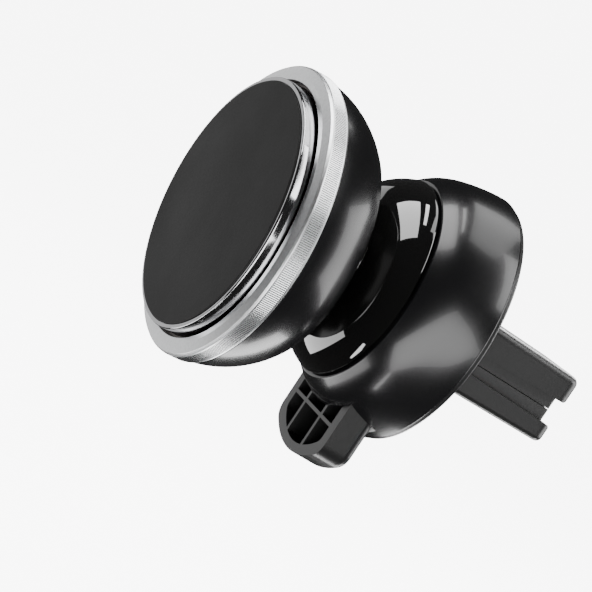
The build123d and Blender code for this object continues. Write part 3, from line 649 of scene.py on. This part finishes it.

# %% [markdown]
# ## Springs
# Two coils close the jaw. A spiral curve is swept with a round wire, and the tree sets the pair at
# the two ends of a line. They shorten with the jaw.

# %% Coil springs
coil, coil_in, entry, leave = new_tree("coil_pair", [
    ("Turns", "NodeSocketFloat"), ("Coil Radius", "NodeSocketFloat"), ("Height", "NodeSocketFloat"),
    ("Wire Radius", "NodeSocketFloat"), ("Spacing", "NodeSocketFloat"), ("Material", "NodeSocketMaterial"),
])
spiral = add(coil, "GeometryNodeCurveSpiral", {
    "Resolution": 28, "Rotations": entry.outputs["Turns"], "Start Radius": entry.outputs["Coil Radius"],
    "End Radius": entry.outputs["Coil Radius"], "Height": entry.outputs["Height"],
})
round_wire = {"Resolution": 12, "Radius": entry.outputs["Wire Radius"]}
wire = add(coil, "GeometryNodeCurvePrimitiveCircle", round_wire)
swept = add(coil, "GeometryNodeCurveToMesh", {
    "Curve": spiral.outputs[0], "Profile Curve": wire.outputs[0], "Fill Caps": True,
})
spread = add(coil, "ShaderNodeCombineXYZ", {0: entry.outputs["Spacing"]})
pair = add(coil, "GeometryNodeMeshLine", {"Count": 2, "Offset": spread.outputs[0]})
both = {"Points": pair.outputs[0], "Instance": swept.outputs[0]}
placed = add(coil, "GeometryNodeInstanceOnPoints", both)
send_out(coil, placed.outputs[0], entry, leave)

low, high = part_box("jaw_springs")
wire_radius = 0.2 * MM
coil_radius = (high.y - low.y) / 2 - wire_radius
spacing = (high.x - low.x) - 2 * (coil_radius + wire_radius)
springs = run_tree("return_springs", coil, coil_in, {
    "Turns": 5.5, "Coil Radius": coil_radius, "Height": high.z - low.z - 2 * wire_radius,
    "Wire Radius": wire_radius, "Spacing": spacing, "Material": spring_metal,
}, Matrix.Translation((-spacing / 2, (low.y + high.y) / 2, low.z + wire_radius)))
dress(springs, "base", "jaw_springs")
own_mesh(springs)

# %% [markdown]
# ## Pieces that keep their CAD shape
# Flat and boxy mouldings, screws and hidden pieces already have the right shape, so they keep their
# CAD meshes and only take a procedural finish.

# %% Paint the CAD nodes
paint = {
    "rear_plate": satin_black, "clip_chassis": satin_black,
    "lower_jaw": satin_black, "release_button": satin_black,
    "upper_jaw_pad": jaw_rubber, "lower_jaw_pad": jaw_rubber,
    "chassis_screws": zinc, "head_screws": zinc, "yoke_plate": zinc, "pivot_pin": zinc, "socket_ring": zinc,
    "magnets": nickel, "magnet_carrier": carrier_grey, "socket_cup": carrier_grey,
    "ball_stud": mirror_metal, "stud_retainer": spring_metal, "seat_spring": spring_metal,
    "spin_washer": liner_white, "ball_liner": liner_white,
}
for node, material in paint.items():
    piece = frame["nodes"][node]
    piece.data.materials.clear()
    piece.data.materials.append(material)
print("painted", len(paint), "CAD nodes")

# %% [markdown]
# ## Studio
# The camera looks from the front right, rolled so that the mount leans across the frame. A pale floor
# lies below. Floor and world are bright to the eye but dim to reflections, because gloss black shows
# nothing except what it mirrors.

# %% Camera
azimuth, elevation, roll = math.radians(66.9), math.radians(4.0), math.radians(33.5)
right = Vector((math.cos(azimuth), math.sin(azimuth), 0))
level = math.cos(elevation)
back = Vector((math.sin(azimuth) * level, -math.cos(azimuth) * level, math.sin(elevation)))
above = back.cross(right)
tilted_right = math.cos(roll) * right + math.sin(roll) * above
tilted_up = math.cos(roll) * above - math.sin(roll) * right
view_axes = Matrix((tilted_right, tilted_up, back)).transposed()
aim_ahead, shift_right, shift_up, view_distance = 2.0 * MM, 7.016 * MM, 7.925 * MM, 300 * MM
aim = ball + Vector((0, -aim_ahead, 0))
camera_data = bpy.data.cameras.new("camera")
camera_data.lens = 126.8
camera_data.sensor_width = 36
camera_data.clip_start = 0.01
camera = bpy.data.objects.new("camera", camera_data)
bpy.context.scene.collection.objects.link(camera)
eye = aim - shift_right * right - shift_up * above + view_distance * back
camera.matrix_world = Matrix.Translation(eye) @ view_axes.to_4x4()
bpy.context.scene.camera = camera

# %% [markdown]
# The floor is a wide plane that glows to the camera alone and casts no shadow, so lights may stand
# below it. The world is bright to the camera, soft to matt surfaces, and only a trace in reflections.

# %% Floor and world
floor_glow, floor_half, floor_height = 7.0, 9, -0.07
sky_seen, sky_soft, sky_trace = 7.5, 0.8, 0.03
floor_paint = finish("floor_paint", (0.86, 0.86, 0.86), 0.7, grain=300, bump=0.02)
glow = floor_paint.node_tree.nodes[floor_paint["shader"]]
glow.inputs["Emission Color"].default_value = (1, 1, 1, 1)
glow.inputs["Emission Strength"].default_value = floor_glow
floor_mesh = bpy.data.meshes.new("floor")
floor_signs = ((-1, -1), (1, -1), (1, 1), (-1, 1))
floor_corners = [(x * floor_half, y * floor_half, floor_height) for x, y in floor_signs]
floor_mesh.from_pydata(floor_corners, [], [(0, 1, 2, 3)])
floor_mesh.materials.append(floor_paint)
floor = bpy.data.objects.new("floor", floor_mesh)
floor.visible_glossy = False
floor.visible_diffuse = False
floor.visible_shadow = False
bpy.context.scene.collection.objects.link(floor)
floor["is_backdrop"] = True

world = bpy.data.worlds.new("studio")
bpy.context.scene.world = world
world.use_nodes = True
tree = world.node_tree
tree.nodes["Background"].inputs[0].default_value = (1, 1, 1, 1)
path = add(tree, "ShaderNodeLightPath")
seen = maths(tree, "MULTIPLY", path.outputs["Is Camera Ray"], sky_seen)
soft = maths(tree, "MULTIPLY", path.outputs["Is Diffuse Ray"], sky_soft)
strength = maths(tree, "ADD", maths(tree, "ADD", seen, soft), sky_trace)
tree.links.new(strength, tree.nodes["Background"].inputs[1])

# %% [markdown]
# Each panel is placed by the direction in which a surface throws the eye's ray: top for the collar and
# the dome's shoulder, low left for the collar's underside, right for the bowl. Two thin strips beside
# the large panels give the second, narrow reflection. Brightness is set per area, so resizing a panel
# doesn't change how bright its reflection looks.

# %% Panels


def panel(name, direction, along, size, brightness, distance=0.5):
    """Soft panel facing the mount; direction and long side are given in the camera's own axes."""
    towards = (view_axes @ Vector(direction)).normalized()
    side = (view_axes @ Vector(along)).cross(towards).normalized()
    data = bpy.data.lights.new(name, "AREA")
    data.shape = "RECTANGLE"
    data.size, data.size_y = size
    data.energy = brightness * math.pi * size[0] * size[1]
    light = bpy.data.objects.new(name, data)
    light.visible_camera = False
    bpy.context.scene.collection.objects.link(light)
    turned = Matrix((side, towards.cross(side), towards)).transposed().to_4x4()
    light.matrix_world = Matrix.Translation(aim + towards * distance) @ turned
    return light


for row in (
    ("top", (0.0, 1.0, 0.13), (0, 0, 1), (0.20, 0.42), 8),
    ("top_strip", (0.31, 0.95, 0.0), (0, 0, 1), (0.03, 0.25), 12),
    ("shoulder", (0.6, 0.75, -0.1), (0, 0, 1), (0.2, 0.45), 3.5),
    ("low_left", (-0.93, -0.36, -0.1), (0, 0, 1), (0.14, 0.5), 5),
    ("low_strip", (-0.53, -0.77, 0.35), (0, 0, 1), (0.03, 0.2), 12),
    ("bowl_side", (0.9, -0.35, -0.3), (0, 1, 0), (0.35, 0.4), 5),
    ("right", (0.85, 0.35, 0.35), (0, -0.6, 0.6), (0.1, 0.4), 8),
    ("low_back", (0.03, -0.85, -0.52), (1, 0, 0), (0.18, 0.3), 10),
    ("clip_edge", (0.55, 0.42, -0.72), (0, 1, 0), (0.25, 0.3), 14),
    ("clip_round", (0.95, 0.05, 0.05), (0, 1, 0), (0.12, 0.3), 9),
    ("clip_side", (0.6, -0.62, 0.5), (0, 1, 0), (0.1, 0.12), 2),
    ("front", (-0.05, -0.4, 0.88), (1, 0.3, 0), (0.34, 0.7), 6),
    ("face_wash", (-0.68, 0.37, -0.63), (0, 1, 0), (0.6, 0.6), 1.0),
):
    panel(*row)

# %% [markdown]
# The front panel is a broad wash that the mirror collar would show as a hard patch, and the clip's
# three small lights would spill on the bowl, so each lights only the pieces meant for it.

# %% What the panels light
clip_nodes = ("clip_chassis", "lower_jaw", "upper_jaw_pad", "lower_jaw_pad")
washed = bpy.data.collections.new("washed")
edged = bpy.data.collections.new("edged")
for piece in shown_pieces():
    if piece.name != "mirror_collar":
        washed.objects.link(piece)
for node in clip_nodes:
    edged.objects.link(frame["nodes"][node])
bpy.data.objects["front"].light_linking.receiver_collection = washed
for name in ("clip_edge", "clip_round", "clip_side"):
    bpy.data.objects[name].light_linking.receiver_collection = edged

# %% [markdown]
# Last, the size of the dressed model is printed.

# %% Measure and finish
low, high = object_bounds()
print("size with skins", [round((h - l) / MM, 2) for l, h in zip(low, high)])
